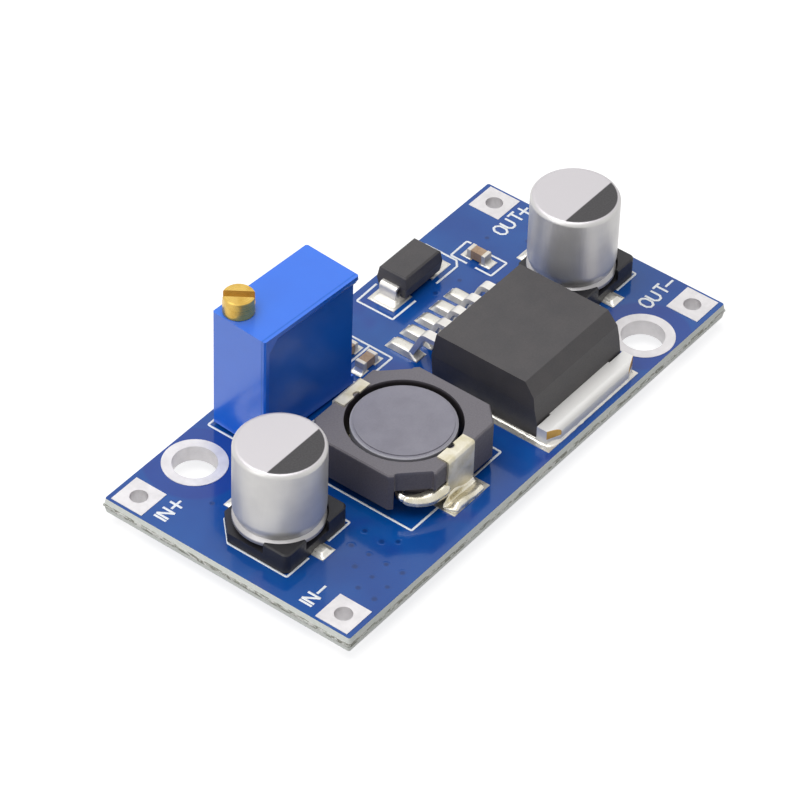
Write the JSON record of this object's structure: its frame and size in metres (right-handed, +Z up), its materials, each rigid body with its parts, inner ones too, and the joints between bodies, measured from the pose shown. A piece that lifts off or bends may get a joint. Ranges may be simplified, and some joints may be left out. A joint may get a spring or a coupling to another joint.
{
  "type": "boost converter module",
  "caption": "Small step-up voltage converter board with a screw-adjust trimmer, shielded inductor, surface-mount regulator, diode and can capacitors.",
  "frame": {"origin": "midway between the two mounting holes, on the underside of the board", "axes": "+X from the input end to the output end, +Y towards the positive terminals, +Z up from the board to its parts"},
  "size_m": [0.0434, 0.0212, 0.0139],
  "materials": {
    "solder_mask": "satin",
    "tinned_copper": "satin",
    "solder": "gloss",
    "trimmer_blue": "satin",
    "trimmer_base": "matte",
    "brass": "satin",
    "seal_rubber": "matte",
    "rotor_plastic": "matte",
    "spring_metal": "satin",
    "ceramic": "matte",
    "ferrite": "matte",
    "enamelled_copper": "gloss",
    "clip_tin": "satin",
    "mould_black": "satin",
    "base_black": "satin",
    "can_aluminium": "satin",
    "chip_ceramic": "satin"
  },
  "bodies": {
    "board": {"board": "solder_mask", "mounting_rings": "tinned_copper", "terminal_eyelets": "tinned_copper", "solder_lands": "solder", "trimmer_housing": "trimmer_blue", "trimmer_plug": "trimmer_base", "trimmer_element": "ceramic", "trimmer_pins": "tinned_copper", "trimmer_solder": "solder", "inductor_shield": "ferrite", "inductor_drum": "ferrite", "inductor_winding": "enamelled_copper", "inductor_front_clip": "clip_tin", "inductor_rear_clip": "clip_tin", "regulator_body": "mould_black", "regulator_tab": "tinned_copper", "regulator_leads": "tinned_copper", "diode_body": "mould_black", "diode_leads": "tinned_copper", "input_capacitor_can": "can_aluminium", "input_capacitor_base": "base_black", "input_capacitor_terminals": "tinned_copper", "output_capacitor_can": "can_aluminium", "output_capacitor_base": "base_black", "output_capacitor_terminals": "tinned_copper", "output_chip_body": "chip_ceramic", "output_chip_ends": "tinned_copper", "divider_chip_body": "chip_ceramic", "divider_chip_ends": "tinned_copper", "filter_chip_body": "chip_ceramic", "filter_chip_ends": "tinned_copper"},
    "screw": {"trimmer_screw": "brass", "trimmer_seal": "seal_rubber"},
    "rotor": {"trimmer_rotor": "rotor_plastic", "trimmer_wiper": "spring_metal"}
  },
  "joints": [
    {"name": "screw_turn", "type": "hinge", "parent": "board", "child": "screw", "pos_m": [-0.01005, 0.00831, 0.0115], "axis": [0, 0, 1], "continuous": true},
    {"name": "rotor_turn", "type": "hinge", "parent": "board", "child": "rotor", "pos_m": [-0.00649, 0.00811, 0.00632], "axis": [0.0576, 0.9983, 0], "continuous": true}
  ],
  "couplings": [
    {"joint": "rotor_turn", "follows": "screw_turn", "ratio": -0.033333}
  ]
}
